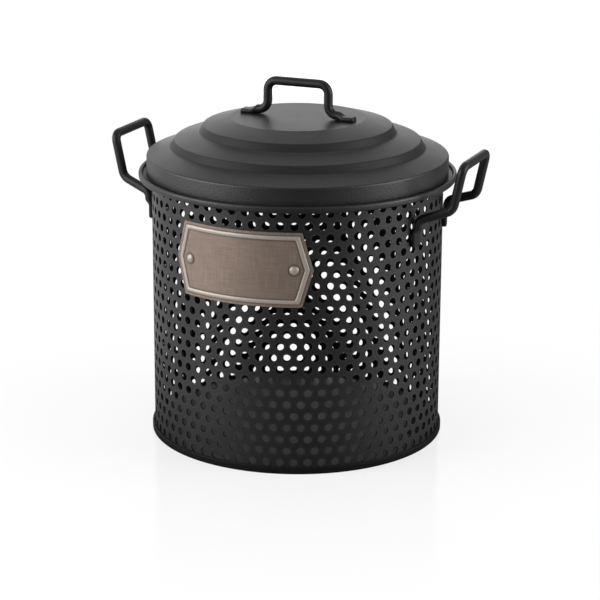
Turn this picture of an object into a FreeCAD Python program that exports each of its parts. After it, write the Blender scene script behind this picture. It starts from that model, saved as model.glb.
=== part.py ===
"""Round perforated storage tin with a stepped lift-off lid, bar handles and a riveted label plaque.

Millimetres, +Z up. The origin is on the table under the middle of the tin, the plaque faces -Y
and the two side handles lie on the X axis.
"""
import FreeCAD
import Part
import math
import os

V = FreeCAD.Vector

# Perforated wall, rolled from sheet
wall_diameter = 213.0
wall_thickness = 1.0
hole_diameter = 6.0
hole_sides = 8
hole_pitch = 10.0
first_row_height = 8.0
top_web = 0.5

# Base pan that the wall stands in
foot_lift = 2.4
floor_thickness = 1.0
foot_width = 5.0
lip_thickness = 1.7
lip_height = 5.2
pan_gap = 0.2

# Rim collar on the wall's top edge
rim_height = 197.0
bead_width = 3.0
bead_height = 4.8
ledge_thickness = 1.0
ledge_drop = 2.4

# Lid, pressed in steps from one sheet
lid_overhang = 3.6
lid_play = 2.9
lid_thickness = 0.8
skirt_height = 14.4
brim_width = 18.9
tier_rise = 5.4
riser_height = 5.2
riser_draft = 0.5
lid_bend = 1.0
disc_margin = 5.0

# Round bar of the three handles, with hammered ends
bar_diameter = 6.5
flat_thickness = 3.2
flat_width = 8.8
flat_run = 4.5
bar_straight = 0.8

# Lid handle
knob_post_spacing = 47.4
knob_foot_span = 88.8
knob_rise = 25.2
knob_bend = 7.0

# Side handles
grip_width = 53.0
grip_reach = 28.9
grip_above_rim = 19.0
grip_bend = 6.0
elbow_reach = 22.2
elbow_below_rim = 12.5
elbow_bend = 8.0
leg_spread = 64.0
shoulder_below_rim = 20.6
shoulder_bend = 6.0
leg_end_below_rim = 40.0

# Label plaque and its two rivets
plaque_width = 103.6
plaque_shoulder = 89.2
plaque_height = 53.5
plaque_below_rim = 46.8
plaque_thickness = 1.2
plaque_corner = 1.8
border_inset = 3.6
border_width = 2.2
border_height = 0.7
rivet_inset = 12.3
rivet_head = 6.9
rivet_dome = 1.5
rivet_shank = 3.2
rivet_tail = 6.4
rivet_tail_height = 1.0

# Clearances between pieces that are welded or riveted together
weld_gap = 0.1
rivet_gap = 0.1

# Sizes that follow from the ones above
wall_radius = wall_diameter / 2
wall_inside = wall_radius - wall_thickness
holes_around = round(math.pi * wall_diameter / hole_pitch)
flat_outside = wall_radius * math.cos(math.pi / holes_around)
flat_inside = flat_outside - wall_thickness
floor_top = foot_lift + floor_thickness
ledge_top = rim_height - ledge_drop
ledge_bottom = ledge_top - ledge_thickness
lid_radius = wall_radius + lid_overhang
bead_inside = lid_radius + lid_play
bead_outside = bead_inside + bead_width
disc_radius = knob_foot_span / 2 + disc_margin
skirt_top = ledge_top + skirt_height
disc_height = skirt_top + 3 * tier_rise + 2 * riser_height
plaque_inside = wall_radius + weld_gap
plaque_outside = plaque_inside + plaque_thickness
plaque_middle = rim_height - plaque_below_rim
rivet_angle = math.asin((plaque_width / 2 - rivet_inset) / plaque_outside)
front = -math.pi / 2


def corner(before, at, after, radius):
    """Start, middle and end of the arc that rounds the corner at a point."""
    u = (before - at).normalize()
    v = (after - at).normalize()
    half = u.getAngle(v) / 2
    reach = radius / math.tan(half)
    middle = at + (u + v).normalize() * (radius / math.sin(half) - radius)
    return [at + u * reach, middle, at + v * reach]


def rounded_path(points, radii, closed=False):
    """Edges of straight runs through the points, with a tangent arc at each corner that has a radius."""
    stops = []
    for i, point in enumerate(points):
        turns = closed or 0 < i < len(points) - 1
        if turns and radii[i] > 0:
            stops.append(corner(points[i - 1], point, points[(i + 1) % len(points)], radii[i]))
        else:
            stops.append([point])
    edges = []
    for i, stop in enumerate(stops):
        if len(stop) == 3:
            edges.append(Part.Arc(*stop).toShape())
        if i + 1 < len(stops) or closed:
            start = stop[-1]
            end = stops[(i + 1) % len(stops)][0]
            if start.distanceToPoint(end) > 1e-6:
                edges.append(Part.makeLine(start, end))
    return edges


def turned(points, radii):
    """Ring turned about the Z axis from a closed outline of (distance from the axis, height) points."""
    outline = rounded_path([V(r, 0, z) for r, z in points], radii, closed=True)
    return Part.Face(Part.Wire(outline)).revolve(V(0, 0, 0), V(0, 0, 1), 360)


def tube(inside, outside, bottom, top):
    """Plain ring between two radii and two heights."""
    outer = Part.makeCylinder(outside, top - bottom, V(0, 0, bottom))
    return outer.cut(Part.makeCylinder(inside, top - bottom, V(0, 0, bottom)))


def flat_ring(flat, bottom, top):
    """Solid bar with one flat for each column of holes, the first one facing -Y."""
    half_turn = math.pi / holes_around
    points = []
    for column in range(holes_around + 1):
        angle = front + (2 * column + 1) * half_turn
        points.append(V(math.cos(angle), math.sin(angle), 0) * (flat / math.cos(half_turn)) + V(0, 0, bottom))
    return Part.Face(Part.makePolygon(points)).extrude(V(0, 0, top - bottom))


def radial_pin(angle, height, diameter, start, end):
    """Round pin that points away from the Z axis, between two distances from it."""
    direction = V(math.cos(angle), math.sin(angle), 0)
    return Part.makeCylinder(diameter / 2, end - start, direction * start + V(0, 0, height), direction)


def radial_punch(angle, height, start, end):
    """Punch that points away from the Z axis, with few sides and the area of the round hole it stands for."""
    out = V(math.cos(angle), math.sin(angle), 0)
    side = V(-math.sin(angle), math.cos(angle), 0)
    turn = 2 * math.pi / hole_sides
    reach = hole_diameter / 2 * math.sqrt(turn / math.sin(turn))
    points = []
    for corner_number in range(hole_sides + 1):
        around = math.pi / 2 + corner_number * turn
        across = side * (reach * math.cos(around))
        points.append(out * start + across + V(0, 0, height + reach * math.sin(around)))
    return Part.Face(Part.makePolygon(points)).extrude(out * (end - start))


def make_wall():
    """Sheet bent a little along each column of holes until it closes, with staggered rows at 60 degrees."""
    row_pitch = math.pi * wall_diameter / holes_around * math.sin(math.pi / 3)
    highest = ledge_bottom - top_web - hole_diameter / 2
    rows = 1 + int((highest - first_row_height) / row_pitch)
    drill_from = flat_inside - wall_thickness
    drill_to = wall_radius + wall_thickness
    holes = []
    for row in range(rows):
        height = first_row_height + row * row_pitch
        for column in range(holes_around):
            angle = front + (column + row % 2 / 2) * 2 * math.pi / holes_around
            holes.append(radial_punch(angle, height, drill_from, drill_to))
    for side in (-1, 1):
        angle = front + side * rivet_angle
        holes.append(radial_pin(angle, plaque_middle, rivet_shank + 2 * rivet_gap, drill_from, drill_to))
    sheet = flat_ring(flat_outside, floor_top, ledge_bottom)
    return sheet.cut(flat_ring(flat_inside, floor_top, ledge_bottom)).cut(holes)


def make_base_pan():
    """Floor disc with a flat foot ring and an upturned lip round the wall."""
    lip_inside = wall_radius + pan_gap
    lip_outside = lip_inside + lip_thickness
    foot_inside = lip_outside - foot_width
    lip_round = lip_thickness / 2
    foot_round = foot_lift / 3
    points = [
        (0, foot_lift),
        (foot_inside, foot_lift),
        (foot_inside, 0),
        (lip_outside, 0),
        (lip_outside, lip_height),
        (lip_inside, lip_height),
        (lip_inside, floor_top),
        (0, floor_top),
    ]
    radii = [0, foot_round, foot_round, lip_round, lip_round, lip_round, 0, 0]
    return turned(points, radii)


def make_rim_collar():
    """Flat ledge on the wall's edge that carries the lid, with a rolled bead round it."""
    bead_round = bead_width / 2
    bead = turned(
        [
            (bead_inside, rim_height - bead_height),
            (bead_outside, rim_height - bead_height),
            (bead_outside, rim_height),
            (bead_inside, rim_height),
        ],
        [bead_round] * 4,
    )
    ledge = tube(wall_inside, bead_inside + bead_round, ledge_bottom, ledge_top)
    return bead.fuse(ledge).removeSplitter()


def lid_outside():
    """Outer face of the lid in section, from the foot of the skirt to the middle of the disc."""
    step = (lid_radius - brim_width - disc_radius) / 2
    radius = lid_radius
    height = skirt_top
    points = [V(radius, 0, ledge_top), V(radius, 0, height)]
    for width in (brim_width, step):
        radius -= width
        height += tier_rise
        points.append(V(radius + riser_draft, 0, height))
        height += riser_height
        points.append(V(radius - riser_draft, 0, height))
    points.append(V(disc_radius, 0, disc_height))
    points.append(V(0, 0, disc_height))
    return points


def make_lid_shell():
    """Sheet of even thickness under the stepped outer face, turned about the Z axis."""
    outer = lid_outside()
    runs = [(b - a).normalize() for a, b in zip(outer, outer[1:])]
    normals = [V(-run.z, 0, run.x) for run in runs]
    inner = [outer[0] + normals[0] * lid_thickness]
    outer_radii = [0]
    inner_radii = [0]
    for i in range(1, len(outer) - 1):
        a = normals[i - 1]
        b = normals[i]
        inner.append(outer[i] + (a + b) * (lid_thickness / (1 + a.dot(b))))
        outward = runs[i - 1].cross(runs[i]).y < 0
        outer_radii.append(lid_bend + lid_thickness if outward else lid_bend)
        inner_radii.append(lid_bend if outward else lid_bend + lid_thickness)
    inner.append(outer[-1] + normals[-1] * lid_thickness)
    edges = rounded_path(outer, outer_radii + [0])
    edges.append(Part.makeLine(outer[-1], inner[-1]))
    edges += reversed(rounded_path(inner, inner_radii + [0]))
    edges.append(Part.makeLine(inner[0], outer[0]))
    section = Part.Face(Part.Wire(edges))
    return section.revolve(V(0, 0, 0), V(0, 0, 1), 360)


def bar_outline(centre, across, through):
    """Circle of the bar in four arcs, so that each meets one side of the hammered outline."""
    half = bar_diameter / 2
    slant = half / math.sqrt(2)
    sides = []
    for a, b in ((across, through), (through, -across), (-across, -through), (-through, across)):
        start = centre + (a + b) * slant
        end = centre + (b - a) * slant
        sides.append(Part.Arc(start, centre + b * half, end).toShape())
    return Part.Wire(sides)


def flat_outline(centre, across, through):
    """Hammered bar in section: two flats with round edges."""
    half = flat_thickness / 2
    run = across * (flat_width / 2 - half)
    rise = through * half
    side = across * half
    return Part.Wire(
        [
            Part.makeLine(centre + run + rise, centre - run + rise),
            Part.Arc(centre - run + rise, centre - run - side, centre - run - rise).toShape(),
            Part.makeLine(centre - run - rise, centre + run - rise),
            Part.Arc(centre + run - rise, centre + run + side, centre + run + rise).toShape(),
        ]
    )


def hammered_end(root, along, seat, length):
    """End of a bar, hammered flat against the seat below it, from its round root to its tip."""
    across = along.cross(seat)
    sunk = seat * ((bar_diameter - flat_thickness) / 2)
    neck = root + along * flat_run + sunk
    flat = flat_outline(neck, across, seat)
    transition = Part.makeLoft([bar_outline(root, across, seat), flat], True, True)
    tongue = Part.Face(flat).extrude(along * (length - flat_run))
    return transition.fuse(tongue)


def bent_bar(points, bends, ends):
    """Round bar bent along the points, fused with its two hammered ends."""
    spine = Part.Wire(rounded_path(points, bends))
    section = Part.Wire(Part.makeCircle(bar_diameter / 2, points[0], points[1] - points[0]))
    bar = spine.makePipeShell([section], True, False)
    print("bar", round(bar.Volume / (spine.Length * math.pi * bar_diameter**2 / 4), 4))
    return bar.fuse(ends).removeSplitter()


def make_lid_handle():
    """Bar bent to a low bridge, whose two feet lie flat on the lid's disc."""
    post = knob_post_spacing / 2
    root = post + knob_bend + bar_straight
    low = disc_height + bar_diameter / 2
    high = disc_height + knob_rise
    points = [V(-root, 0, low), V(-post, 0, low), V(-post, 0, high)]
    points += [V(post, 0, high), V(post, 0, low), V(root, 0, low)]
    foot = knob_foot_span / 2 - root
    ends = [
        hammered_end(points[0], V(-1, 0, 0), V(0, 0, -1), foot),
        hammered_end(points[-1], V(1, 0, 0), V(0, 0, -1), foot),
    ]
    return bent_bar(points, [0] + [knob_bend] * 4 + [0], ends)


def make_side_handle():
    """Bar bent out and up from two legs that lie flat on the wall, on the +X side."""
    seat_radius = wall_radius + weld_gap + bar_diameter / 2
    leg_angle = math.asin(leg_spread / 2 / seat_radius)
    outward = V(math.cos(leg_angle), -math.sin(leg_angle), 0)
    shoulder = outward * seat_radius + V(0, 0, rim_height - shoulder_below_rim)
    elbow = V(wall_radius + elbow_reach, -grip_width / 2, rim_height - elbow_below_rim)
    grip = V(wall_radius + grip_reach, -grip_width / 2, rim_height + grip_above_rim)
    turn = (elbow - shoulder).getAngle(V(0, 0, 1))
    root = shoulder - V(0, 0, shoulder_bend * math.tan(turn / 2) + bar_straight)
    near = [root, shoulder, elbow, grip]
    far = [V(p.x, -p.y, p.z) for p in reversed(near)]
    leg = root.z - (rim_height - leg_end_below_rim)
    ends = [
        hammered_end(root, V(0, 0, -1), -outward, leg),
        hammered_end(far[-1], V(0, 0, -1), V(-outward.x, outward.y, 0), leg),
    ]
    bends = [0, shoulder_bend, elbow_bend, grip_bend]
    return bent_bar(near + far, bends + bends[::-1], ends)


def make_plaque():
    """Six-sided plate that follows the wall, with a raised border and two rivet holes."""
    far = wall_radius + plaque_width
    half_height = plaque_height / 2
    tip = plaque_width / 2
    side = plaque_shoulder / 2
    points = [
        V(-tip, -far, plaque_middle),
        V(-side, -far, plaque_middle - half_height),
        V(side, -far, plaque_middle - half_height),
        V(tip, -far, plaque_middle),
        V(side, -far, plaque_middle + half_height),
        V(-side, -far, plaque_middle + half_height),
    ]
    outline = Part.Wire(rounded_path(points, [plaque_corner] * 6, closed=True))
    border_out = Part.Face(outline.makeOffset2D(-border_inset))
    border_in = Part.Face(outline.makeOffset2D(-border_inset - border_width))
    bottom = plaque_middle - plaque_height
    top = plaque_middle + plaque_height
    depth = V(0, far, 0)
    plate = Part.Face(outline).extrude(depth)
    plate = plate.common(tube(plaque_inside, plaque_outside, bottom, top))
    border = border_out.cut(border_in).extrude(depth)
    border = border.common(tube(plaque_outside, plaque_outside + border_height, bottom, top))
    holes = []
    for sign in (-1, 1):
        angle = front + sign * rivet_angle
        diameter = rivet_shank + 2 * rivet_gap
        holes.append(radial_pin(angle, plaque_middle, diameter, wall_inside, wall_radius + plaque_height))
    return plate.fuse(border).cut(holes).removeSplitter()


def make_rivet(sign):
    """Domed rivet through the plaque and the wall, clenched inside."""
    tail = rivet_tail / 2
    shank = rivet_shank / 2
    head = rivet_head / 2
    clench = flat_inside - rivet_gap
    under = plaque_outside + rivet_gap
    ball = (rivet_dome**2 + head**2) / (2 * rivet_dome)
    centre = under + rivet_dome - ball
    half_turn = math.asin(head / ball) / 2
    dome = Part.Arc(
        V(under, 0, head),
        V(centre + ball * math.cos(half_turn), 0, ball * math.sin(half_turn)),
        V(under + rivet_dome, 0, 0),
    )
    stops = [
        V(under + rivet_dome, 0, 0),
        V(clench - rivet_tail_height, 0, 0),
        V(clench - rivet_tail_height, 0, tail),
        V(clench, 0, tail),
        V(clench, 0, shank),
        V(under, 0, shank),
        V(under, 0, head),
    ]
    edges = rounded_path(stops, [0] * len(stops)) + [dome.toShape()]
    rivet = Part.Face(Part.Wire(edges)).revolve(V(0, 0, 0), V(1, 0, 0), 360)
    rivet.rotate(V(0, 0, 0), V(0, 0, 1), math.degrees(front + sign * rivet_angle))
    rivet.translate(V(0, 0, plaque_middle))
    return rivet


right_handle = make_side_handle()
nodes = {
    "perforated_wall": make_wall(),
    "base_pan": make_base_pan(),
    "rim_collar": make_rim_collar(),
    "lid_shell": make_lid_shell(),
    "lid_handle": make_lid_handle(),
    "side_handle_right": right_handle,
    "side_handle_left": right_handle.mirror(V(0, 0, 0), V(1, 0, 0)),
    "label_plaque": make_plaque(),
    "rivet_left": make_rivet(-1),
    "rivet_right": make_rivet(1),
}

os.makedirs("parts", exist_ok=True)
for name, shape in nodes.items():
    shape.exportStep("parts/" + name + ".step")
    box = shape.BoundBox
    print(
        name,
        "valid" if shape.isValid() else "NOT VALID",
        len(shape.Solids),
        "solid",
        round(shape.Volume, 1),
        "x %.1f..%.1f y %.1f..%.1f z %.1f..%.1f" % (box.XMin, box.XMax, box.YMin, box.YMax, box.ZMin, box.ZMax),
    )
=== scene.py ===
# %% [markdown]
# # A perforated storage tin, dressed for its picture
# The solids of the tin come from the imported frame: a perforated wall in a base pan, a rim collar,
# a stepped lid, three bent bars and a riveted plaque. This lesson keeps their sizes and gives each
# of them the surface that the real one has: soft bends, a fine powder grain, brushed metal.
# The frame is loaded first, because every piece is made where its solid is.

# %% The fixed frame
import math
import bmesh
import bpy
from mathutils import Matrix, Vector


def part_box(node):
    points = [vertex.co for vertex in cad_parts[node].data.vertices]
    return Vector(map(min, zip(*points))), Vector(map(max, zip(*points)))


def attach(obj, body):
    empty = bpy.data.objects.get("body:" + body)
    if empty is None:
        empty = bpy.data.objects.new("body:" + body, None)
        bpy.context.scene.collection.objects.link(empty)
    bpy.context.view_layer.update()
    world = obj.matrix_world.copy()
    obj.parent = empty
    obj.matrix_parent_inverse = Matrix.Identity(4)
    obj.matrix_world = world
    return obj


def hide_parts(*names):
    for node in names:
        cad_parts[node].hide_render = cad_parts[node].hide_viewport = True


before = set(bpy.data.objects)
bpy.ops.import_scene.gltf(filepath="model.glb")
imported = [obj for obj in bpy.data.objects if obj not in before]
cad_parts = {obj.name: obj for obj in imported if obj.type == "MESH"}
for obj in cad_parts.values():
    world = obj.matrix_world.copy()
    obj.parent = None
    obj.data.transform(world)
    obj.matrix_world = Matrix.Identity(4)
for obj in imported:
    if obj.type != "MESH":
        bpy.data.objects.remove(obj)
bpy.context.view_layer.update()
scene = bpy.context.scene
scene.view_settings.view_transform = "Standard"

# %% [markdown]
# ## The camera
# The picture was taken from a little above, with a long lens, from a step to the right of the
# plaque. A camera could be placed by eye, but the rim, the lid's steps and the rows of holes give
# enough ellipses to work it out: its distance, height and tilt make all of them as flat as they are.

# %% Camera on the photograph's line of sight
view_turn = math.radians(22.6)
view_distance = 1.540
view_height = 0.561
view_tilt = math.radians(16.78)
view_aside = math.radians(0.08)
view_roll = math.radians(0.26)
focal_pixels = 2162.6
picture_width = 600
film_width = 36

eye = Vector((view_distance * math.sin(view_turn), -view_distance * math.cos(view_turn), view_height))
turned = Matrix.Rotation(view_turn - view_aside, 4, "Z")
tilted = Matrix.Rotation(math.pi / 2 - view_tilt, 4, "X")
rolled = Matrix.Rotation(view_roll, 4, "Z")
lens = bpy.data.cameras.new("picture_lens")
lens.sensor_width = film_width
lens.lens = film_width * focal_pixels / picture_width
camera = bpy.data.objects.new("picture_camera", lens)
camera.matrix_world = Matrix.Translation(eye) @ turned @ tilted @ rolled
scene.collection.objects.link(camera)
scene.camera = camera
print("camera at", [round(c, 3) for c in eye], "lens", round(lens.lens, 1), "mm")

# %% [markdown]
# ## Helpers for node trees
# The floor, the room and each finish are small trees of nodes. Every node could be made and linked
# line by line, but then it is hard to see what a tree is for. These helpers each make one node, set
# or link its inputs and hand back its output, so that a tree reads like a sum.

# %% Making and joining nodes
def feed(tree, socket, value):
    """Number or colour set on a socket, or another node's output linked to it."""
    if isinstance(value, bpy.types.NodeSocket):
        tree.links.new(value, socket)
    else:
        socket.default_value = value


def add_math(tree, operation, *values):
    """Result of one operation on numbers."""
    node = tree.nodes.new("ShaderNodeMath")
    node.operation = operation
    for socket, value in zip(node.inputs, values):
        feed(tree, socket, value)
    return node.outputs[0]


def add_vector(tree, operation, *values):
    """Result of one operation on places, which is a number for a length, a distance or a dot product."""
    node = tree.nodes.new("ShaderNodeVectorMath")
    node.operation = operation
    for socket, value in zip(node.inputs, values):
        feed(tree, socket, value)
    is_number = operation in ("LENGTH", "DISTANCE", "DOT_PRODUCT")
    return node.outputs["Value" if is_number else "Vector"]


def spread(tree, value, low, high, start=0.3, stop=0.7, smooth=False):
    """Number that runs from start to stop, stretched between two ends."""
    node = tree.nodes.new("ShaderNodeMapRange")
    node.interpolation_type = "SMOOTHSTEP" if smooth else "LINEAR"
    labels = ("Value", "From Min", "From Max", "To Min", "To Max")
    for label, number in zip(labels, (value, start, stop, low, high)):
        feed(tree, node.inputs[label], number)
    return node.outputs["Result"]


print("helpers", feed.__name__, add_math.__name__, add_vector.__name__, spread.__name__)

# %% [markdown]
# ## The studio
# The tin stands in a white studio that is dark behind the camera and dim behind the tin on the
# right, which is why a black lid has pale and dark bands. Black cards could stand there, but cards
# also throw shadows. Instead the floor and the room ask which way a reflected ray goes and give it
# less light that way, while rays from the eye itself always find plain white.

# %% Bright and dark sides of the studio
def seen_directly(tree):
    """Two masks: rays from the eye or through glass, and rays off a gloss."""
    path = tree.nodes.new("ShaderNodeLightPath")
    direct = add_math(tree, "MAXIMUM", path.outputs["Is Camera Ray"], path.outputs["Is Transmission Ray"])
    return direct, path.outputs["Is Glossy Ray"]


def shade_towards(tree, place, turn, rise, begin, full, strength):
    """One all round, but another strength towards a turn from the camera, to the right, and a rise."""
    around = view_turn + math.radians(turn)
    flat, lift = math.cos(math.radians(rise)), math.sin(math.radians(rise))
    way = (flat * math.sin(around), -flat * math.cos(around), lift)
    ahead = add_vector(tree, "DOT_PRODUCT", add_vector(tree, "NORMALIZE", place), way)
    return spread(tree, ahead, low=1.0, high=strength, start=begin, stop=full, smooth=True)


def dark_sides(tree, place):
    """Dark towards the camera, and dim behind the tin on the right."""
    front_dark = shade_towards(tree, place, turn=2.3, rise=0, begin=0.55, full=0.97, strength=0.16)
    right_dim = shade_towards(tree, place, turn=135, rise=0, begin=0.76, full=0.93, strength=0.22)
    return add_math(tree, "MULTIPLY", front_dark, right_dim)


print("studio seen from", round(math.degrees(view_turn), 1), "degrees")

# %% [markdown]
# ## The white floor
# The floor is a white sheet that has no horizon and gives back a faint mirror image of the foot. It
# could simply be lit until it burns out, but that would wash over the tin as well. Here a white glow
# is mixed into a real white surface. The eye finds more of the glow further from the tin, so the
# shadow and the mirror image stay at its foot and the sheet ends in plain white.

# %% Finish: floor sheet
near_foot = 0.11
sheet_finish = bpy.data.materials.new("white_floor_sheet")
sheet_finish.use_nodes = True
tree = sheet_finish.node_tree
paper = tree.nodes["Principled BSDF"]
paper.inputs["Base Color"].default_value = (0.86, 0.86, 0.86, 1)
paper.inputs["Roughness"].default_value = 0.12
direct, off_gloss = seen_directly(tree)
place = tree.nodes.new("ShaderNodeTexCoord").outputs["Object"]
away = add_vector(tree, "LENGTH", place)
foot_shade = spread(tree, away, low=0.05, high=0.85, start=near_foot, stop=0.34)
mirrored = add_math(tree, "MULTIPLY", dark_sides(tree, place), foot_shade)
glow = tree.nodes.new("ShaderNodeEmission")
feed(tree, glow.inputs["Strength"], add_math(tree, "MAXIMUM", direct, mirrored))
whiter = spread(tree, away, low=0.72, high=1.0, start=near_foot, stop=0.36, smooth=True)
share = add_math(tree, "MULTIPLY_ADD", off_gloss, 0.85, add_math(tree, "MULTIPLY", direct, whiter))
blend = tree.nodes.new("ShaderNodeMixShader")
for socket, value in zip(blend.inputs, (share, paper.outputs[0], glow.outputs[0])):
    feed(tree, socket, value)
feed(tree, tree.nodes["Material Output"].inputs["Surface"], blend.outputs[0])
print("finish", sheet_finish.name, "with", len(tree.nodes), "nodes")

# %% Floor sheet
bm = bmesh.new()
bmesh.ops.create_circle(bm, cap_ends=True, segments=96, radius=1.25)
mesh = bpy.data.meshes.new("floor_sheet")
bm.to_mesh(mesh)
bm.free()
floor = bpy.data.objects.new("floor_sheet", mesh)
floor.data.materials.append(sheet_finish)
scene.collection.objects.link(floor)
print("floor", [round(d, 1) for d in floor.dimensions])

# %% [markdown]
# ## The room
# Round the sheet the room is white to the eye, but it lights the tin only softly. One white room for
# both would flatten the black coat. A reflected ray finds it brightest just above the floor, dimmer
# towards the ceiling, and a little brighter straight behind the tin, where the lid's disc shines.

# %% White all round, dimmer for soft light
white = (1, 1, 1, 1)
world = bpy.data.worlds.new("white_room")
scene.world = world
world.use_nodes = True
tree = world.node_tree
tree.nodes.clear()
soft_room = tree.nodes.new("ShaderNodeBackground")
soft_room.inputs["Color"].default_value = white
soft_room.inputs["Strength"].default_value = 0.35
white_room = tree.nodes.new("ShaderNodeBackground")
white_room.inputs["Color"].default_value = white
direct, off_gloss = seen_directly(tree)
way = tree.nodes.new("ShaderNodeTexCoord").outputs["Generated"]
height = tree.nodes.new("ShaderNodeSeparateXYZ")
feed(tree, height.inputs[0], way)
ceiling = spread(tree, height.outputs["Z"], low=1.2, high=0.30, start=0.30, stop=0.75)
behind = shade_towards(tree, way, turn=188, rise=18, begin=0.80, full=0.97, strength=1.35)
mirrored = add_math(tree, "MULTIPLY", add_math(tree, "MULTIPLY", dark_sides(tree, way), ceiling), behind)
feed(tree, white_room.inputs["Strength"], add_math(tree, "MAXIMUM", direct, mirrored))
either = add_math(tree, "MAXIMUM", direct, off_gloss)
room = tree.nodes.new("ShaderNodeMixShader")
for socket, value in zip(room.inputs, (either, soft_room.outputs[0], white_room.outputs[0])):
    feed(tree, socket, value)
sky = tree.nodes.new("ShaderNodeOutputWorld")
feed(tree, sky.inputs["Surface"], room.outputs[0])
print("room", round(soft_room.inputs["Strength"].default_value, 2), "for soft light")

# %% [markdown]
# ## The lamps
# Black metal shows little but what it mirrors. On the picture's lid skirt there is a pale band to the
# left of the middle and another to the right, so a wide soft box stands on each side, and the lid's
# steps are paler than its risers, so a third hangs above. Small lamps would give hard spots instead.

# %% Three soft boxes
lamp_aim = Vector((0, 0, 0.14))


def soft_box(name, turn, distance, height, width, tall, power):
    """Area lamp that faces the tin from a turn counted from the camera's side, to the right."""
    lamp = bpy.data.lights.new(name, "AREA")
    lamp.shape = "RECTANGLE"
    lamp.size = width
    lamp.size_y = tall
    lamp.energy = power
    box = bpy.data.objects.new(name, lamp)
    around = view_turn + math.radians(turn)
    place = Vector((distance * math.sin(around), -distance * math.cos(around), height))
    facing = (lamp_aim - place).to_track_quat("-Z", "Y").to_matrix().to_4x4()
    box.matrix_world = Matrix.Translation(place) @ facing
    box.visible_camera = False
    scene.collection.objects.link(box)
    print(name, [round(c, 2) for c in place], power, "W")


soft_box("left_soft_box", turn=-72, distance=1.3, height=0.60, width=1.3, tall=1.0, power=20)
soft_box("right_soft_box", turn=78, distance=1.3, height=0.60, width=1.0, tall=1.0, power=15)
soft_box("top_soft_box", turn=180, distance=0.35, height=1.6, width=1.4, tall=1.2, power=4)

# %% [markdown]
# ## The powder coat
# The steel is sprayed with black powder that melts in an oven into a satin skin. Close to, the skin
# has a fine orange-peel grain, and over a hand's width its sheen drifts a little. Painted pixels could
# show that from one side only, so two noises on the piece's own coordinates make it instead, in a
# node group that each coated material can take with its own grain.

# %% Group: powder grain
def new_group(name, inputs, outputs):
    """Node group with named number inputs and outputs, and its two end nodes."""
    group = bpy.data.node_groups.new(name, "ShaderNodeTree")
    for label, value in inputs.items():
        socket = group.interface.new_socket(label, in_out="INPUT", socket_type="NodeSocketFloat")
        socket.default_value = value
    for label in outputs:
        group.interface.new_socket(label, in_out="OUTPUT", socket_type="NodeSocketFloat")
    return group, group.nodes.new("NodeGroupInput"), group.nodes.new("NodeGroupOutput")


def noise(tree, place, scale, detail, rough):
    """Noise on a place."""
    node = tree.nodes.new("ShaderNodeTexNoise")
    labels = ("Vector", "Scale", "Detail", "Roughness")
    for label, value in zip(labels, (place, scale, detail, rough)):
        feed(tree, node.inputs[label], value)
    return node.outputs["Fac"]


powder_grain, start, end = new_group("powder_grain", {"Grain": 900.0, "Drift": 14.0}, ["Height", "Sheen"])
here = powder_grain.nodes.new("ShaderNodeTexCoord").outputs["Object"]
peel = noise(powder_grain, here, start.outputs["Grain"], detail=2.0, rough=0.5)
drift = noise(powder_grain, here, start.outputs["Drift"], detail=3.0, rough=0.55)
feed(powder_grain, end.inputs["Height"], peel)
feed(powder_grain, end.inputs["Sheen"], drift)
print("group", powder_grain.name, "with", len(powder_grain.nodes), "nodes")

# %% [markdown]
# On convex edges the coat is painted a shade paler, a painted highlight, and the middle of the pan's
# floor is painted paler as painted light. A mask for that could come from a brush, but every piece
# below knows its own convex edges, so each vertex carries a number named edge, the pan's floor carries
# one for its painted light, and this group breaks them up with noise.

# %% Group: painted edge highlight and floor light
def vertex_number(tree, label):
    """Number that the piece's vertices carry under a name."""
    node = tree.nodes.new("ShaderNodeAttribute")
    node.attribute_name = label
    return node.outputs["Fac"]


painted_edge_and_floor_light, start, end = new_group("painted_edge_and_floor_light", {"Reach": 0.5, "Patch": 60.0}, ["Mask"])
either = [vertex_number(painted_edge_and_floor_light, label) for label in ("edge", "floor_light")]
here = painted_edge_and_floor_light.nodes.new("ShaderNodeTexCoord").outputs["Object"]
patches = noise(painted_edge_and_floor_light, here, start.outputs["Patch"], detail=4.0, rough=0.6)
broken = add_math(painted_edge_and_floor_light, "MULTIPLY", add_math(painted_edge_and_floor_light, "MAXIMUM", *either), patches)
mask = add_math(painted_edge_and_floor_light, "MULTIPLY", broken, start.outputs["Reach"])
mask.node.use_clamp = True
feed(painted_edge_and_floor_light, end.inputs["Mask"], mask)
print("group", painted_edge_and_floor_light.name, "with", len(painted_edge_and_floor_light.nodes), "nodes")

# %% [markdown]
# A finish places these groups with its own values and mixes colours by what they put out. The grain
# could be cut into the mesh, but it is far finer than any face, so it only tilts the normal.

# %% Using a group, mixing colours, raising a grain
def use_group(tree, group, **values):
    """A node group placed in a material with its own values."""
    node = tree.nodes.new("ShaderNodeGroup")
    node.node_tree = group
    for label, value in values.items():
        node.inputs[label].default_value = value
    return node


def mix_colours(tree, factor, first, second):
    """Colour between two others, by a factor that changes over the surface."""
    node = tree.nodes.new("ShaderNodeMix")
    node.data_type = "RGBA"
    for label, value in zip(("Factor", "A", "B"), (factor, first, second)):
        feed(tree, node.inputs[label], value)
    return node.outputs["Result"]


def bump(tree, height, depth, strength):
    """Surface normal pushed by a height of that many metres."""
    node = tree.nodes.new("ShaderNodeBump")
    for label, value in zip(("Height", "Distance", "Strength"), (height, depth, strength)):
        feed(tree, node.inputs[label], value)
    return node.outputs["Normal"]


print("helpers", use_group.__name__, mix_colours.__name__, bump.__name__)
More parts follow.
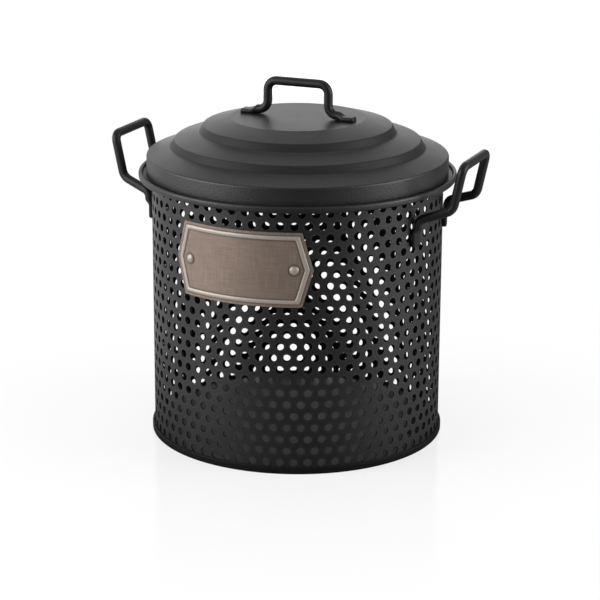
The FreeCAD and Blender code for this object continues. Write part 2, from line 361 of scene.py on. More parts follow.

# %% [markdown]
# The coat itself is one Principled shader. Its colour moves between two near blacks with the drift,
# and goes a little paler as a painted highlight on convex edges and as painted light in the middle of
# the pan's floor; the drift also moves the roughness, and the grain is a bump of a fraction of a
# millimetre. The sheen is the same all over a coat, so it stays a plain number on the shader. One coat
# for everything would be simpler, but spray lies glossy on the open sheet and the lid and duller on
# the pan, and copies of the coat paint light and shade: copies with little sheen are painted shade on
# the lid's risers and inside the tin and on the hole walls, and a glossier copy is painted light in
# the middle of the pan's floor.

# %% Finish: satin black coat
deep_black = (0.0035, 0.0035, 0.0037)
soft_black = (0.0065, 0.0065, 0.0068)
painted_light_black = (0.03, 0.03, 0.0305, 1)


def coat_finish(name, grain, rough, sheen, pale=1.0, peel=0.00006):
    """Black powder coat with its own grain, two ends of roughness, sheen, paleness and peel in metres."""
    finish = bpy.data.materials.new(name)
    finish.use_nodes = True
    tree = finish.node_tree
    skin = tree.nodes["Principled BSDF"]
    skin.inputs["Specular IOR Level"].default_value = sheen
    powder = use_group(tree, powder_grain, Grain=grain)
    painted_light = use_group(tree, painted_edge_and_floor_light, Reach=0.6)
    blacks = [tuple(c * pale for c in black) + (1,) for black in (deep_black, soft_black)]
    black = mix_colours(tree, powder.outputs["Sheen"], *blacks)
    # painted highlight on convex edges and painted light on the pan's floor: the colour goes paler where the
    # mask says
    feed(tree, skin.inputs["Base Color"], mix_colours(tree, painted_light.outputs["Mask"], black, painted_light_black))
    feed(tree, skin.inputs["Roughness"], spread(tree, powder.outputs["Sheen"], *rough))
    feed(tree, skin.inputs["Normal"], bump(tree, powder.outputs["Height"], depth=peel, strength=0.5))
    return finish


wall_coat = coat_finish("black_coat_on_sheet", 700.0, (0.40, 0.48), sheen=0.40, peel=0.0005)
# painted shade: a copy of the coat with almost no sheen, for the inside of the tin and the hole walls
shaded_inside_coat = coat_finish("black_coat_shaded_inside", 900.0, (0.55, 0.65), sheen=0.05)
lid_coat = coat_finish("black_coat_on_pressing", 800.0, (0.40, 0.47), sheen=0.42, peel=0.0003)
# painted shade: a copy of the coat with little sheen and a paler colour, for the lid's risers
shaded_step_coat = coat_finish("black_coat_shaded_in_steps", 800.0, (0.45, 0.55), sheen=0.16, pale=3.0)
pan_coat = coat_finish("black_coat_on_pan", 1100.0, (0.50, 0.58), sheen=0.08)
# painted light: a glossier copy of the coat for the middle of the pan's floor
lit_floor_coat = coat_finish("black_coat_on_lit_floor", 1100.0, (0.42, 0.50), sheen=0.30)
bar_coat = coat_finish("black_coat_on_bar", 1400.0, (0.38, 0.46), sheen=0.24, peel=0.0002)
print("coats", [m.name for m in bpy.data.materials if m.name.startswith("black_coat")])

# %% [markdown]
# ## The plaque's metal
# The plaque is stamped from thin steel and plated, then brushed twice, once along and once across, so
# fine lines cross like linen. Lines on the tin's own coordinates would slide off the curve, so they
# read the plate's own flat map, in metres, and each stroke is a noise drawn out along one side.

# %% Group: crossed brush lines
def flat_place(tree):
    """Place on the plate as it was before it was curved."""
    node = tree.nodes.new("ShaderNodeUVMap")
    node.uv_map = "flat"
    return node.outputs["UV"]


crossed_brush, start, end = new_group("crossed_brush", {"Lines": 2600.0, "Length": 60.0}, ["Lines", "Cloud"])
flat = flat_place(crossed_brush)
strokes = []
for along in (0, 1):
    drawn_out = crossed_brush.nodes.new("ShaderNodeCombineXYZ")
    feed(crossed_brush, drawn_out.inputs[along], start.outputs["Length"])
    feed(crossed_brush, drawn_out.inputs[1 - along], start.outputs["Lines"])
    scaled = add_vector(crossed_brush, "MULTIPLY", flat, drawn_out.outputs[0])
    strokes.append(noise(crossed_brush, scaled, scale=1.0, detail=2.0, rough=0.6))
woven = add_math(crossed_brush, "MULTIPLY", add_math(crossed_brush, "ADD", *strokes), 0.5)
feed(crossed_brush, end.inputs["Lines"], woven)
cloud = noise(crossed_brush, flat, scale=45.0, detail=3.0, rough=0.6)
feed(crossed_brush, end.inputs["Cloud"], cloud)
print("group", crossed_brush.name, "with", len(crossed_brush.nodes), "nodes")

# %% [markdown]
# Dark wax is rubbed over the plate and wiped off again. It stays in the brush lines and at the foot of
# the border, and the border itself is wiped bright. Round the rivets a dark ring is painted shadow. The
# mesh says what is raised and what is hollow, by numbers on its vertices; the rivets' rings are too
# fine for that, so they are measured on the flat map instead.

# %% Finish: waxed plate metal
rivet_out = 0.0404
wax_in_lines = 0.45
wax_and_rivet_shadow = 0.16


def rivet_shadow_ring(tree):
    """Painted shadow round a rivet's head: one close to it, on the plate's flat map, and zero elsewhere."""
    folded = add_vector(tree, "ABSOLUTE", flat_place(tree))
    off = add_vector(tree, "DISTANCE", folded, (rivet_out, 0, 0))
    return spread(tree, off, low=1.0, high=0.0, start=0.0036, stop=0.0050)


def plate_finish(name, dull, bright, lines):
    """Plated metal, brushed both ways, with wax in the hollows, painted shadow round the rivets and wiped
    high places.
    """
    finish = bpy.data.materials.new(name)
    finish.use_nodes = True
    tree = finish.node_tree
    skin = tree.nodes["Principled BSDF"]
    skin.inputs["Metallic"].default_value = 0.35
    brushed = use_group(tree, crossed_brush, Lines=lines)
    darker, darkest = [tuple(c * wax for c in dull[:3]) + (1,) for wax in (wax_in_lines, wax_and_rivet_shadow)]
    waxed = mix_colours(tree, spread(tree, brushed.outputs["Lines"], 0.0, 1.0), darker, dull)
    clouded = mix_colours(tree, spread(tree, brushed.outputs["Cloud"], 0.0, 0.45), waxed, darker)
    # wax in the hollows and painted shadow round the rivets both take the darkest colour
    hollow = add_math(tree, "MAXIMUM", vertex_number(tree, "hollow"), rivet_shadow_ring(tree))
    lined = mix_colours(tree, spread(tree, hollow, 0.0, 0.85, start=0.0, stop=1.0), clouded, darkest)
    feed(tree, skin.inputs["Base Color"], mix_colours(tree, vertex_number(tree, "raised"), lined, bright))
    feed(tree, skin.inputs["Roughness"], spread(tree, brushed.outputs["Cloud"], 0.36, 0.5))
    feed(tree, skin.inputs["Normal"], bump(tree, brushed.outputs["Lines"], depth=0.00007, strength=0.7))
    return finish


plate_dull = (0.290, 0.215, 0.171, 1)
plate_bright = (0.345, 0.303, 0.266, 1)
plate_metal = plate_finish("waxed_plate_metal", plate_dull, plate_bright, 1500.0)
print("finish", plate_metal.name)

# %% [markdown]
# ## From a mesh to a piece
# Every piece ends the same way: its doubles are merged, its faces turned outwards, its soft bends
# shaded smooth and its true edges kept sharp. The edge number for the painted edge highlight is written
# here too, from the angle between the two faces of each edge that bulges outwards.

# %% Edge numbers and boxes
square_edge = 0.9


def number_edges(bm):
    """Writes how convex the surface is at each vertex, from 0 on a flat to 1 on a square edge."""
    layer = bm.verts.layers.float.new("edge")
    for vert in bm.verts:
        turns = [e.calc_face_angle_signed(0.0) for e in vert.link_edges if e.is_manifold]
        vert[layer] = min(1.0, max([0.0] + turns) / square_edge)


def off_the_box(piece, node):
    """Largest distance between the sides of a piece's box and of its solid's, in millimetres."""
    low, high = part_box(node)
    mine = list(zip(*piece.bound_box))
    offs = [max(abs(min(mine[i]) - low[i]), abs(max(mine[i]) - high[i])) for i in range(3)]
    return round(max(offs) * 1000, 2)


def fresh_verts(made):
    """Vertices among what an operator made."""
    return [v for v in made["geom"] if isinstance(v, bmesh.types.BMVert)]


def everything(bm):
    """All that a mesh holds."""
    return bm.verts[:] + bm.edges[:] + bm.faces[:]


print("helpers", number_edges.__name__, off_the_box.__name__, fresh_verts.__name__, everything.__name__)

# %% Ending a piece
sharp_edge = math.radians(38)


def finish_piece(bm, name, body, node, finishes, recalculate=True):
    """Object from a bmesh, in the finishes of its slot, that stands for its solid."""
    if recalculate:
        bmesh.ops.remove_doubles(bm, verts=bm.verts[:], dist=2e-6)
        bmesh.ops.recalc_face_normals(bm, faces=bm.faces[:])
    number_edges(bm)
    open_edges = sum(not e.is_manifold for e in bm.edges)
    mesh = bpy.data.meshes.new(name)
    bm.to_mesh(mesh)
    bm.free()
    mesh.shade_smooth()
    mesh.set_sharp_from_angle(angle=sharp_edge)
    for finish in finishes:
        mesh.materials.append(finish)
    piece = bpy.data.objects.new(name, mesh)
    scene.collection.objects.link(piece)
    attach(piece, body)
    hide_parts(node)
    print(name, len(mesh.polygons), "faces,", open_edges, "open edges")
    print("  off its solid's box by", off_the_box(piece, node), "mm")


print("edges stay sharp from", round(math.degrees(sharp_edge)), "degrees")

# %% [markdown]
# ## The perforated wall
# The wall is a steel sheet with 6 mm holes in staggered rows, punched flat and then rolled; the coat
# narrows each hole to 5.8 mm. It could be a tube with some fifteen hundred holes cut from it, but a
# cut of that size is slow and leaves long thin faces. It is made here the way it is made in a factory:
# one hole in its own six-sided cell, copied along a row and up the sheet, trimmed, rolled and given
# its thickness.

# %% One hole in its cell
wall_radius = 0.1065
wall_thickness = 0.001
hole_radius = 0.0029
holes_round = 67
hole_rows = 22
first_row = 0.008
pitch = 2 * math.pi * wall_radius / holes_round
row_pitch = pitch * math.sin(math.pi / 3)
wall_low, wall_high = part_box("perforated_wall")

sheet = bmesh.new()
bmesh.ops.create_circle(sheet, cap_ends=False, segments=18, radius=hole_radius)
for vert in fresh_verts(bmesh.ops.extrude_edge_only(sheet, edges=sheet.edges[:])):
    bearing = math.atan2(vert.co.y, vert.co.x)
    from_side = (bearing + math.pi / 6) % (math.pi / 3) - math.pi / 6
    vert.co *= pitch / 2 / math.cos(from_side) / hole_radius
print("cell", len(sheet.faces), "faces, pitch", round(pitch * 1000, 3), "mm")

# %% Rows of cells
def copy_along(bm, geom, move):
    """Copy of some geometry, moved."""
    bmesh.ops.translate(bm, verts=fresh_verts(bmesh.ops.duplicate(bm, geom=geom)), vec=move)


cell = everything(sheet)
for column in range(1, holes_round):
    copy_along(sheet, cell, (column * pitch, 0, 0))
row_cells = everything(sheet)
for row in range(1, hole_rows):
    copy_along(sheet, row_cells, (row % 2 * pitch / 2, row * row_pitch, 0))
bmesh.ops.translate(sheet, verts=sheet.verts[:], vec=(0, first_row, 0))
bmesh.ops.remove_doubles(sheet, verts=sheet.verts[:], dist=1e-5)
print("flat sheet", len(sheet.faces), "faces")

# %% [markdown]
# The cells leave a zigzag along both long sides of the sheet. The last row could be stretched, but its
# holes would no longer be round. The zigzag's edges are pulled out to a plain margin instead, and the
# margin is cut off level, as a guillotine does it.

# %% Plain margins, trimmed top and bottom
spare = 0.004


def outer_edges(bm, low):
    """Edges on the sheet's lower or upper zigzag margin."""
    middle = first_row + (hole_rows - 1) * row_pitch / 2
    reach = (hole_rows - 1) * row_pitch / 2 + 0.5 * hole_radius
    picked = []
    for edge in bm.edges:
        height = (edge.verts[0].co.y + edge.verts[1].co.y) / 2 - middle
        if edge.is_boundary and abs(height) > reach and (height < 0) == low:
            far = min(abs(v.co.y - middle) for v in edge.verts)
            if far > reach + 0.7 * hole_radius:
                picked.append(edge)
    return picked


for low, level in ((True, wall_low.z - spare), (False, wall_high.z + spare)):
    for vert in fresh_verts(bmesh.ops.extrude_edge_only(sheet, edges=outer_edges(sheet, low))):
        vert.co.y = level
for level, way in ((wall_low.z, -1), (wall_high.z, 1)):
    bmesh.ops.bisect_plane(
        sheet, geom=everything(sheet), plane_co=(0, level, 0), plane_no=(0, way, 0), clear_outer=True,
    )
heights = [v.co.y for v in sheet.verts]
print("trimmed from", round(min(heights) * 1000, 2), "to", round(max(heights) * 1000, 2), "mm")

# %% Rolled and thickened
front = -math.pi / 2
for vert in sheet.verts:
    angle = front + vert.co.x / wall_radius
    vert.co = (wall_radius * math.cos(angle), wall_radius * math.sin(angle), vert.co.y)
bmesh.ops.remove_doubles(sheet, verts=sheet.verts[:], dist=1e-5)
bmesh.ops.recalc_face_normals(sheet, faces=sheet.faces[:])
middles = [(f.normal, f.calc_center_median()) for f in sheet.faces]
if sum(normal.xy.dot(middle.xy) for normal, middle in middles) < 0:
    bmesh.ops.reverse_faces(sheet, faces=sheet.faces[:])
bmesh.ops.solidify(sheet, geom=sheet.faces[:], thickness=wall_thickness)
half_way = wall_radius - wall_thickness / 2
# painted shade: the inner faces and the hole walls take the copy with almost no sheen
for face in sheet.faces:
    face.material_index = int(any(v.co.xy.length < half_way for v in face.verts))
finish_piece(
    sheet, "wall_sheet", "tin", "perforated_wall", [wall_coat, shaded_inside_coat], recalculate=False,
)

# %% [markdown]
# ## Pan, collar and lid
# These three are turned shapes: the pan and the collar are spun at a press, and the lid is pressed
# between round dies. Each could be a stack of cylinders, but a section that is spun once about the
# axis also gives the small bends between the flats, which is where the light catches.

# %% Bending and spinning a section
def bend_corner(bm, corner, bend, segments):
    """Corner of a section rounded to a bend radius."""
    before, after = [e.other_vert(corner).co - corner.co for e in corner.link_edges]
    reach = bend / math.tan(before.angle(after) / 2)
    bmesh.ops.bevel(
        bm, geom=[corner], offset=reach, offset_type="OFFSET", segments=segments, profile=0.5,
        affect="VERTICES", clamp_overlap=True, material=-1,
    )


def section_wire(bm, points):
    """Closed line through (distance from the axis, height, bend radius) points, with its corners bent."""
    corners = [bm.verts.new((r, 0, z)) for r, z, bend in points]
    bm.faces.new(corners)
    for corner, (r, z, bend) in zip(corners, points):
        if bend:
            bend_corner(bm, corner, bend, segments=5)
    bmesh.ops.delete(bm, geom=bm.faces[:], context="FACES_ONLY")


def spin_section(bm, steps):
    """Full turn of a section about the Z axis, closed on itself and at its poles."""
    on_axis = [e for e in bm.edges if all(abs(v.co.x) < 1e-7 for v in e.verts)]
    bmesh.ops.delete(bm, geom=on_axis, context="EDGES")
    bmesh.ops.spin(
        bm, geom=bm.verts[:] + bm.edges[:], cent=(0, 0, 0), axis=(0, 0, 1), angle=2 * math.pi,
        steps=steps, use_merge=True,
    )


print("sections are spun by", spin_section.__name__)

# %% [markdown]
# The pan is a shallow dish: a foot ring to stand on, a lip round the foot of the wall and a flat
# floor. The floor could be one plain disc, but its middle is painted paler and glossier as painted
# light, and the ring along the wall keeps the dull coat as painted shade, so two more rings of
# vertices carry a number that fades from the middle out.

# %% Pressed pan
foot_lift = 0.0024
floor_top = 0.0034
lip_in = 0.1067
lip_out = 0.1084
lip_top = 0.0052
foot_in = 0.1034
lit_floor_out = 0.085
lit_floor_in = 0.060
lit_floor_most = 3.0
pan = bmesh.new()
section_wire(pan, [
    (0, foot_lift, 0), (foot_in, foot_lift, 0.0008), (foot_in, 0, 0.0008), (lip_out, 0, 0.00085),
    (lip_out, lip_top, 0.00084), (lip_in, lip_top, 0.00084), (lip_in, floor_top, 0),
    (lit_floor_out, floor_top, 0), (lit_floor_in, floor_top, 0), (0, floor_top, 0),
])
spin_section(pan, steps=192)
floor_light = pan.verts.layers.float.new("floor_light")
for vert in pan.verts:
    if abs(vert.co.z - floor_top) < 1e-6:
        inwards = (lit_floor_out - vert.co.xy.length) / (lit_floor_out - lit_floor_in)
        vert[floor_light] = lit_floor_most * max(0.0, min(1.0, inwards))
# painted light in the middle of the floor, painted shade in the dull ring along the wall
for face in pan.faces:
    face.material_index = int(any(v[floor_light] > 0 for v in face.verts))
finish_piece(pan, "pressed_pan", "tin", "base_pan", [pan_coat, lit_floor_coat])

# %% [markdown]
# The collar lies on the top edge of the wall: a flat ledge that the lid rests on, and outside it a
# rolled bead that keeps the lid in its place. A torus would give the bead alone; one section with four
# round corners gives bead and ledge in one piece, as they are rolled.

# %% Rolled rim
bead_in = 0.1130
bead_out = 0.1160
bead_low = 0.1922
bead_top = 0.1970
bead_bend = 0.00149
ledge_in = 0.1055
ledge_low = 0.1936
ledge_top = 0.1946
collar = bmesh.new()
section_wire(collar, [
    (ledge_in, ledge_low, 0.0002), (bead_in, ledge_low, 0), (bead_in, bead_low, bead_bend),
    (bead_out, bead_low, bead_bend), (bead_out, bead_top, bead_bend), (bead_in, bead_top, bead_bend),
    (bead_in, ledge_top, 0.0003), (ledge_in, ledge_top, 0.0002),
])
spin_section(collar, steps=224)
finish_piece(collar, "rolled_rim", "tin", "rim_collar", [lid_coat])

# %% [markdown]
# The lid is one pressing with a straight skirt and two steps. Its risers lean inwards, as a press
# needs, with a tight bend above and a wider one below. A closed section would need the inside drawn as
# well, so only the outside is drawn and spun, and the sheet gets its thickness afterwards. The leaning
# faces inside the skirt take their own finish, a painted shade that keeps the risers dark.

# %% Stepped lid
lid_sheet = 0.0008
lid_section = [
    (0.1101, 0.1946), (0.1101, 0.2090), (0.0928, 0.2141), (0.0896, 0.2199),
    (0.0719, 0.2247), (0.0687, 0.2305), (0.0494, 0.2356), (0.0, 0.2356),
]
lid_bends = (0.0016, 0.0030, 0.0016, 0.0030, 0.0016, 0.0016)
lid = bmesh.new()
line = [lid.verts.new((r, 0, z)) for r, z in lid_section]
for a, b in zip(line, line[1:]):
    lid.edges.new((a, b))
for corner, bend_radius in zip(line[1:-1], lid_bends):
    bend_corner(lid, corner, bend_radius, segments=6)
spin_section(lid, steps=224)
bmesh.ops.remove_doubles(lid, verts=lid.verts[:], dist=2e-6)
bmesh.ops.recalc_face_normals(lid, faces=lid.faces[:])
if max(lid.faces, key=lambda f: f.calc_center_median().z).normal.z < 0:
    bmesh.ops.reverse_faces(lid, faces=lid.faces[:])
bmesh.ops.solidify(lid, geom=lid.faces[:], thickness=lid_sheet)
skirt_in = lid_section[1][0] - 0.004
steep = 0.75
# painted shade: the leaning faces of the risers take the copy with little sheen
for face in lid.faces:
    leans = 0 < face.normal.z < steep
    face.material_index = int(leans and face.calc_center_median().xy.length < skirt_in)
finish_piece(
    lid, "lid_pressing", "lid", "lid_shell", [lid_coat, shaded_step_coat], recalculate=False,
)

# %% [markdown]
# ## Bent bars
# All three handles are cut from one 6.5 mm bar, bent cold over a former and hammered flat where they are
# welded down. A bevelled curve would give the bends but not the hammered ends. A ring of edges that is
# pulled along each straight and turned round each bend, as the bar itself is, gives both.

# %% Pulling and bending a ring
bar_radius = 0.00325


def ring_of(verts):
    """Edges that join the vertices of one ring."""
    fresh = set(verts)
    return list({e for v in fresh for e in v.link_edges if e.other_vert(v) in fresh})


def pull(bm, ring, move):
    """Ring extruded and moved."""
    verts = fresh_verts(bmesh.ops.extrude_edge_only(bm, edges=ring))
    bmesh.ops.translate(bm, verts=verts, vec=move)
    return ring_of(verts)


def bend(bm, ring, centre, axis, angle, steps):
    """Ring extruded and turned about a centre, a little at a time."""
    for step in range(steps):
        verts = fresh_verts(bmesh.ops.extrude_edge_only(bm, edges=ring))
        bmesh.ops.rotate(bm, verts=verts, cent=centre, matrix=Matrix.Rotation(angle / steps, 3, axis))
        ring = ring_of(verts)
    return ring


print("bar", bar_radius * 2000, "mm")

# %% Drawing a bar through its corners
bend_steps = 8
straight_bit = 0.0008


def draw_bar(bm, points, radii):
    """Round bar through the points, bent to a radius at each inner one; its first and last ring."""
    start_way = (points[1] - points[0]).normalized()
    stand = Matrix.Translation(points[0]) @ start_way.to_track_quat("Z", "X").to_matrix().to_4x4()
    made = bmesh.ops.create_circle(bm, cap_ends=False, segments=20, radius=bar_radius, matrix=stand)
    first = ring = ring_of(made["verts"])
    at = points[0]
    for before, point, after, radius in zip(points, points[1:], points[2:], radii):
        way = (point - before).normalized()
        onward = (after - point).normalized()
        angle = way.angle(onward)
        cut = radius * math.tan(angle / 2)
        stop = point - way * cut
        ring = pull(bm, ring, stop - at)
        axis = way.cross(onward).normalized()
        ring = bend(bm, ring, stop + axis.cross(way) * radius, axis, angle, bend_steps)
        at = point + onward * cut
    return first, pull(bm, ring, points[-1] - at)


print("each bend in", bend_steps, "steps")

# %% [markdown]
# A hammered end goes from round to flat over a few millimetres, spreads sideways as it thins, and stops
# in a rounded tip. Scaling the last ring would thin it on both sides; here every ring is clipped to the
# flat's thickness and moved onto its seat, so the underside stays in touch with what it is welded to.

# %% Hammering an end flat
flat_half = 0.0016
flat_wide = 8.8 / 6.5
flat_run = 0.0045
flat_steps = 7


def beat_flat(bm, ring, root, along, seat):
    """Rings from a bar's round root to its flat, and the middle of the last one."""
    across = along.cross(seat)
    centre = Vector(root)
    wide = 1.0
    for step in range(1, flat_steps + 1):
        t = step / flat_steps
        ease = t * t * (3 - 2 * t)
        goal = Vector(root) + along * (flat_run * t) + seat * ((bar_radius - flat_half) * ease)
        ring = pull(bm, ring, goal - centre)
        centre = goal
        half = bar_radius + (flat_half - bar_radius) * ease
        stretch = (1 + (flat_wide - 1) * ease) / wide
        wide *= stretch
        for vert in {v for e in ring for v in e.verts}:
            out = vert.co - centre
            side = out.dot(across) * stretch
            up = max(-half, min(half, out.dot(seat)))
            vert.co = centre + along * out.dot(along) + across * side + seat * up
    return ring, centre


print("flat", flat_half * 2000, "mm thick")

# %% Rounding and closing the tip
tip_round = 0.0020
tip_steps = 5
tip_narrow = 0.42
tip_turn = 0.98


def round_tip(bm, ring, centre, along, seat):
    """Rings that draw in to a rounded tip, closed by a face."""
    across = along.cross(seat)
    shown = 1.0
    for step in range(1, tip_steps + 1):
        size = 1 - tip_narrow * (1 - math.sqrt(1 - (tip_turn * step / tip_steps) ** 2))
        ring = pull(bm, ring, along * (tip_round / tip_steps))
        centre = centre + along * (tip_round / tip_steps)
        for vert in {v for e in ring for v in e.verts}:
            out = vert.co - centre
            vert.co = centre + along * out.dot(along) + across * out.dot(across) * size / shown
            vert.co += seat * (flat_half + (out.dot(seat) - flat_half) * size / shown)
        shown = size
    bmesh.ops.contextual_create(bm, geom=ring)


def hammer(bm, ring, root, along, seat, length):
    """End of a bar beaten flat on its seat, from its round root to a rounded tip, then closed."""
    ring, centre = beat_flat(bm, ring, root, along, seat)
    plain = length - flat_run - tip_round
    ring = pull(bm, ring, along * plain)
    round_tip(bm, ring, centre + along * plain, along, seat)


print("tip rounded over", tip_round * 1000, "mm")

# %% [markdown]
# ### The lid's handle
# A low bridge in one plane: two posts, a bar across, and two feet that lie outwards on the disc. It
# could be half a handle and its mirror image, but one bar drawn from foot to foot has no seam.

# %% Bridge on the lid
disc_top = lid_section[-1][1]
post = 0.0237
foot_end = 0.0444
bridge_rise = 0.0252
bridge_bend = 0.007
bridge_high = disc_top + bridge_rise
bridge_low = disc_top + bar_radius
bridge_root = post + bridge_bend + straight_bit
bridge = bmesh.new()
half_stops = [(bridge_root, bridge_low), (post, bridge_low), (post, bridge_high)]
stops = [Vector((-x, 0, z)) for x, z in half_stops] + [Vector((x, 0, z)) for x, z in reversed(half_stops)]
first, last = draw_bar(bridge, stops, [bridge_bend] * 4)
down = Vector((0, 0, -1))
hammer(bridge, first, stops[0], Vector((-1, 0, 0)), down, foot_end - bridge_root)
hammer(bridge, last, stops[-1], Vector((1, 0, 0)), down, foot_end - bridge_root)
finish_piece(bridge, "lid_bridge", "lid", "lid_handle", [bar_coat])

# %% [markdown]
# ### The side handles
# Each one rises from two legs on the wall, leans out past the rim on two arms, and closes in a grip
# that stands higher than the rim. The left one is the right one seen in a mirror, so it is made
# again with its X turned round, and its faces are turned outwards afterwards.

# %% Line of a loop
rim_top = bead_top
leg_bend, elbow_bend, grip_bend = 0.006, 0.008, 0.006
half_span, half_grip = 0.032, 0.0265
shoulder_drop, leg_drop = 0.0206, 0.040
elbow_out, elbow_drop = 0.0222, 0.0125
grip_out, grip_rise = 0.0289, 0.0190
weld_gap = 0.0001
seat_radius = wall_radius + weld_gap + bar_radius
leg_turn = math.asin(half_span / seat_radius)
outward = Vector((math.cos(leg_turn), -math.sin(leg_turn), 0))
up = Vector((0, 0, 1))
shoulder = outward * seat_radius + up * (rim_top - shoulder_drop)
elbow = Vector((wall_radius + elbow_out, -half_grip, rim_top - elbow_drop))
grip = Vector((wall_radius + grip_out, -half_grip, rim_top + grip_rise))
lean = (elbow - shoulder).angle(up)
leg_root = shoulder - up * (leg_bend * math.tan(lean / 2) + straight_bit)
leg_end = rim_top - leg_drop
near = [leg_root, shoulder, elbow, grip]
loop_stops = near + [Vector((p.x, -p.y, p.z)) for p in reversed(near)]
loop_bends = [leg_bend, elbow_bend, grip_bend, grip_bend, elbow_bend, leg_bend]
print("loop through", len(loop_stops), "points, arms lean", round(math.degrees(lean), 1), "degrees")

# %% Loops on the wall
def side_loop(name, node, mirrored):
    """One side handle, on the right or mirrored to the left."""
    bm = bmesh.new()
    first, last = draw_bar(bm, loop_stops, loop_bends)
    leg = leg_root.z - leg_end
    hammer(bm, first, loop_stops[0], -up, -outward, leg)
    hammer(bm, last, loop_stops[-1], -up, Vector((-outward.x, outward.y, 0)), leg)
    if mirrored:
        bmesh.ops.scale(bm, vec=(-1, 1, 1), verts=bm.verts[:])
    finish_piece(bm, name, "tin", node, [bar_coat])


side_loop("right_loop", "side_handle_right", False)
side_loop("left_loop", "side_handle_left", True)

# %% [markdown]
# ## The plaque
# A six-sided plate, stamped so that a rounded border stands up all round, then curved to the wall. It is
# drawn flat first, because there the border is only a few insets of one face, each raised a little. The
# plain six corners are inset, and the mitres between the border's sides are rounded afterwards, because
# an inset of rounded corners folds over itself.

# %% Stamped flat
plate_half = 0.0518
plate_side = 0.0446
plate_tall = 0.02675
plate_drop = 0.0468
plate_middle = rim_top - plate_drop
edge_drop = 0.00025
outline = [
    (-plate_half, 0), (-plate_side, -plate_tall), (plate_side, -plate_tall),
    (plate_half, 0), (plate_side, plate_tall), (-plate_side, plate_tall),
]
plate = bmesh.new()
plate.faces.new([plate.verts.new((x, y, -edge_drop)) for x, y in outline])
border = [
    (0.0003, edge_drop, 0.0), (0.0014, 0.0, 0.0), (0.0008, 0.0, 1.0), (0.0001, 0.00022, 0.5),
    (0.0004, 0.00026, 0.0), (0.00055, 0.00016, 0.0), (0.00055, 0.00006, 0.0), (0.00055, -0.00006, 0.0),
    (0.00055, -0.00016, 0.0), (0.0004, -0.00026, 0.0), (0.0001, -0.00022, 1.0), (0.0013, 0.0, 0.0),
]
hollow = plate.verts.layers.float.new("hollow")
field = plate.faces[:]
height = -edge_drop
for width, lift, wax in border:
    bmesh.ops.inset_region(
        plate, faces=field, thickness=width, depth=0.0, use_even_offset=True, use_boundary=True,
    )
    height += lift
    for vert in field[0].verts:
        vert.co.z = height
        vert[hollow] = wax
print("plate", len(plate.faces), "faces after", len(border), "insets")

# %% Rounded mitres
flat_on = 1e-6


def round_mitres(edges, offset, segments):
    """Edges between two sides of the border, rounded."""
    bmesh.ops.bevel(
        plate, geom=edges, offset=offset, offset_type="OFFSET", segments=segments, profile=0.5,
        affect="EDGES", clamp_overlap=True, material=-1,
    )


side_mitres = [
    e for e in plate.edges
    if min(abs(v.co.y) for v in e.verts) > flat_on and e.verts[0].co.x * e.verts[1].co.x > 0
]
round_mitres(side_mitres, offset=0.0010, segments=4)
point_mitres = [e for e in plate.edges if max(abs(v.co.y) for v in e.verts) < flat_on]
round_mitres(point_mitres, offset=0.0005, segments=3)
print("plate", len(plate.faces), "faces with its mitres rounded")

# %% [markdown]
# The flat plate is cut into narrow strips so that it can bend, copied to its back and laid round the
# wall. A thickness added after the bend would fold at the fine border, so the back is the front's own
# copy, pressed level. Before it is curved, the plate keeps its flat places as a map for the brushing.

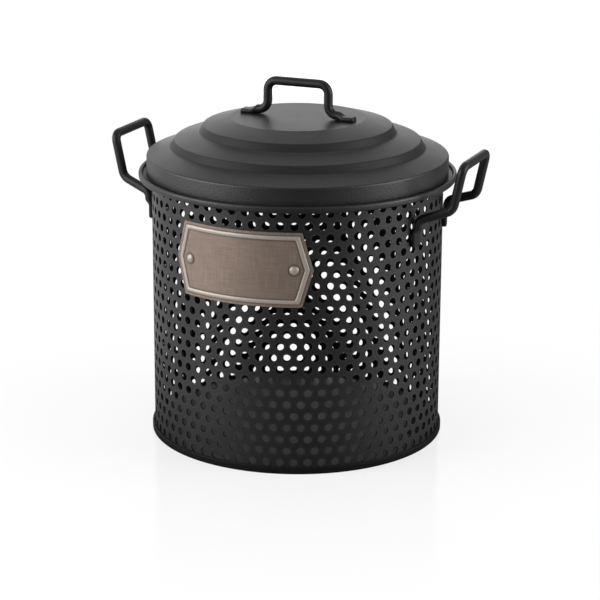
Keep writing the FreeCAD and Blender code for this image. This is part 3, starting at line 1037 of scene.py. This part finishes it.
# %% Cut in strips, curved and thickened
plate_face = 0.1078
plate_thick = 0.0012
wiped_rise = 0.0005
for axis, steps, width in (((1, 0, 0), 34, 0.0015), ((0, 1, 0), 4, 0.0055)):
    for step in range(-steps, steps + 1):
        cut = Vector(axis) * (step * width)
        bmesh.ops.bisect_plane(plate, geom=everything(plate), plane_co=cut, plane_no=axis)
for vert in fresh_verts(bmesh.ops.extrude_face_region(plate, geom=plate.faces[:], use_keep_orig=True)):
    vert.co.z = -plate_thick
rise = plate.verts.layers.float.new("raised")
for vert in plate.verts:
    vert[rise] = max(0.0, min(1.0, vert.co.z / wiped_rise))
flat_map = plate.loops.layers.uv.new("flat")
for face in plate.faces:
    for loop in face.loops:
        along = plate_face * math.asin(loop.vert.co.x / plate_face)
        loop[flat_map].uv = (along, loop.vert.co.y)
for vert in plate.verts:
    angle = front + math.asin(vert.co.x / plate_face)
    reach = plate_face + vert.co.z
    vert.co = (reach * math.cos(angle), reach * math.sin(angle), plate_middle + vert.co.y)
finish_piece(plate, "label_plate", "tin", "label_plaque", [plate_metal])

# %% [markdown]
# ## The rivets
# Two domed rivets hold the plate. Each is one turned shape: dome, shank and the clenched tail that shows
# inside the tin. Half a ball would do for the outside alone. It is spun upright at the origin and then
# laid along its own radius of the wall.

# %% Section of a rivet
rivet_from_tip = 0.0123
rivet_turn = math.asin((plate_half - rivet_from_tip) / plate_face)
head = 0.00345
dome = 0.0015
shank = 0.0016
tail = 0.0032
tail_thick = 0.001
rivet_gap = 0.0001
dome_steps = 8
wiped_dome = dome / 1.6
ball = (dome ** 2 + head ** 2) / (2 * dome)
under = plate_face + rivet_gap
clench = wall_radius * math.cos(math.pi / holes_round) - wall_thickness - rivet_gap
rivet_section = [
    (0, clench - tail_thick, 0), (tail, clench - tail_thick, 0.0004), (tail, clench, 0),
    (shank, clench, 0), (shank, under, 0), (head, under, 0),
]
for step in range(1, dome_steps + 1):
    turn = math.asin(head / ball) * (1 - step / dome_steps)
    rivet_section.append((ball * math.sin(turn), under + dome - ball + ball * math.cos(turn), 0))
print("rivet", round(head * 2000, 1), "mm across its head")

# %% Two rivets
def rivet(name, node, side):
    """Rivet on one side of the plate's middle."""
    bm = bmesh.new()
    section_wire(bm, rivet_section)
    spin_section(bm, steps=36)
    rise = bm.verts.layers.float.new("raised")
    flat_map = bm.loops.layers.uv.new("flat")
    for vert in bm.verts:
        vert[rise] = max(0.0, min(1.0, (vert.co.z - under) / wiped_dome))
    for face in bm.faces:
        for loop in face.loops:
            loop[flat_map].uv = (loop.vert.co.x, loop.vert.co.y)
    lay = Matrix.Rotation(front + side * rivet_turn, 4, "Z") @ Matrix.Rotation(math.pi / 2, 4, "Y")
    bmesh.ops.transform(bm, matrix=Matrix.Translation((0, 0, plate_middle)) @ lay, verts=bm.verts[:])
    finish_piece(bm, name, "tin", node, [plate_metal])


rivet("left_rivet", "rivet_left", -1)
rivet("right_rivet", "rivet_right", 1)
